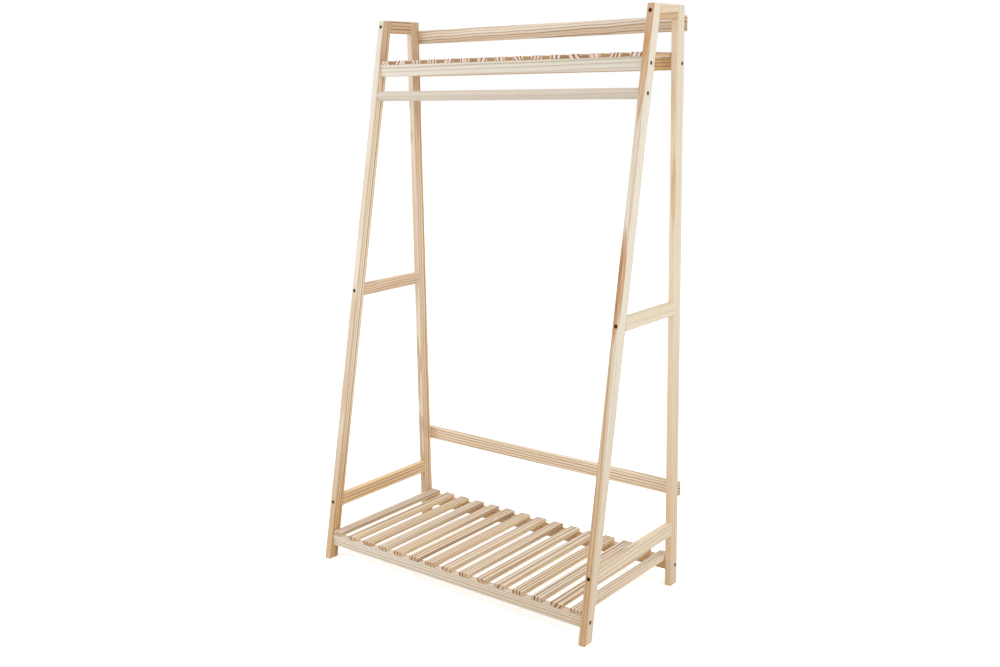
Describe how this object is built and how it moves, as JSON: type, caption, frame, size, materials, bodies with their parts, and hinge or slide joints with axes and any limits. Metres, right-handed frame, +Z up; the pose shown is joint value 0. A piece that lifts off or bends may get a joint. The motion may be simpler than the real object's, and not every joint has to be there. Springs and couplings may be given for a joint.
{
  "type": "open frame wardrobe",
  "caption": "Free-standing pine clothes rack: raked front legs, upright rear legs, slatted top and bottom shelves, back rails and a round hanging rod between the front legs.",
  "frame": {"origin": "on the floor, under the middle of the outside box", "axes": "+X to the right seen from the front, +Y to the back, +Z up"},
  "size_m": [1, 0.5147, 1.688],
  "materials": {
    "frame_pine": "clear planed pine, satin",
    "rail_pine": "clear planed pine, satin",
    "back_rail_pine": "clear planed pine, satin",
    "slat_pine": "clear planed pine, satin",
    "rod_pine": "turned pine, satin",
    "beech": "grooved dowel, raw",
    "bronzed_steel": "dark bronze plating",
    "bright_steel": "bright wire"
  },
  "bodies": {
    "root": {"back_rail_screws": "bronzed_steel", "bottom_shelf_brads": "bright_steel", "bottom_shelf_front_rail": "rail_pine", "bottom_shelf_rear_rail": "rail_pine", "bottom_shelf_screws": "bronzed_steel", "bottom_shelf_slat_01": "slat_pine", "bottom_shelf_slat_02": "slat_pine", "bottom_shelf_slat_03": "slat_pine", "bottom_shelf_slat_04": "slat_pine", "bottom_shelf_slat_05": "slat_pine", "bottom_shelf_slat_06": "slat_pine", "bottom_shelf_slat_07": "slat_pine", "bottom_shelf_slat_08": "slat_pine", "bottom_shelf_slat_09": "slat_pine", "bottom_shelf_slat_10": "slat_pine", "bottom_shelf_slat_11": "slat_pine", "bottom_shelf_slat_12": "slat_pine", "bottom_shelf_slat_13": "slat_pine", "bottom_shelf_slat_14": "slat_pine", "bottom_shelf_slat_15": "slat_pine", "hanging_rod": "rod_pine", "left_front_leg": "frame_pine", "left_lower_rail": "frame_pine", "left_middle_rail": "frame_pine", "left_rear_leg": "frame_pine", "left_top_rail": "frame_pine", "lower_back_rail": "back_rail_pine", "right_front_leg": "frame_pine", "right_lower_rail": "frame_pine", "right_middle_rail": "frame_pine", "right_rear_leg": "frame_pine", "right_top_rail": "frame_pine", "rod_screws": "bronzed_steel", "side_rail_dowels": "beech", "side_rail_front_screws": "bronzed_steel", "side_rail_rear_screws": "bronzed_steel", "top_shelf_brads": "bright_steel", "top_shelf_front_rail": "rail_pine", "top_shelf_rear_rail": "rail_pine", "top_shelf_screws": "bronzed_steel", "top_shelf_slat_01": "slat_pine", "top_shelf_slat_02": "slat_pine", "top_shelf_slat_03": "slat_pine", "top_shelf_slat_04": "slat_pine", "top_shelf_slat_05": "slat_pine", "top_shelf_slat_06": "slat_pine", "top_shelf_slat_07": "slat_pine", "top_shelf_slat_08": "slat_pine", "top_shelf_slat_09": "slat_pine", "top_shelf_slat_10": "slat_pine", "top_shelf_slat_11": "slat_pine", "top_shelf_slat_12": "slat_pine", "top_shelf_slat_13": "slat_pine", "top_shelf_slat_14": "slat_pine", "top_shelf_slat_15": "slat_pine", "upper_back_rail": "back_rail_pine"}
  },
  "joints": []
}
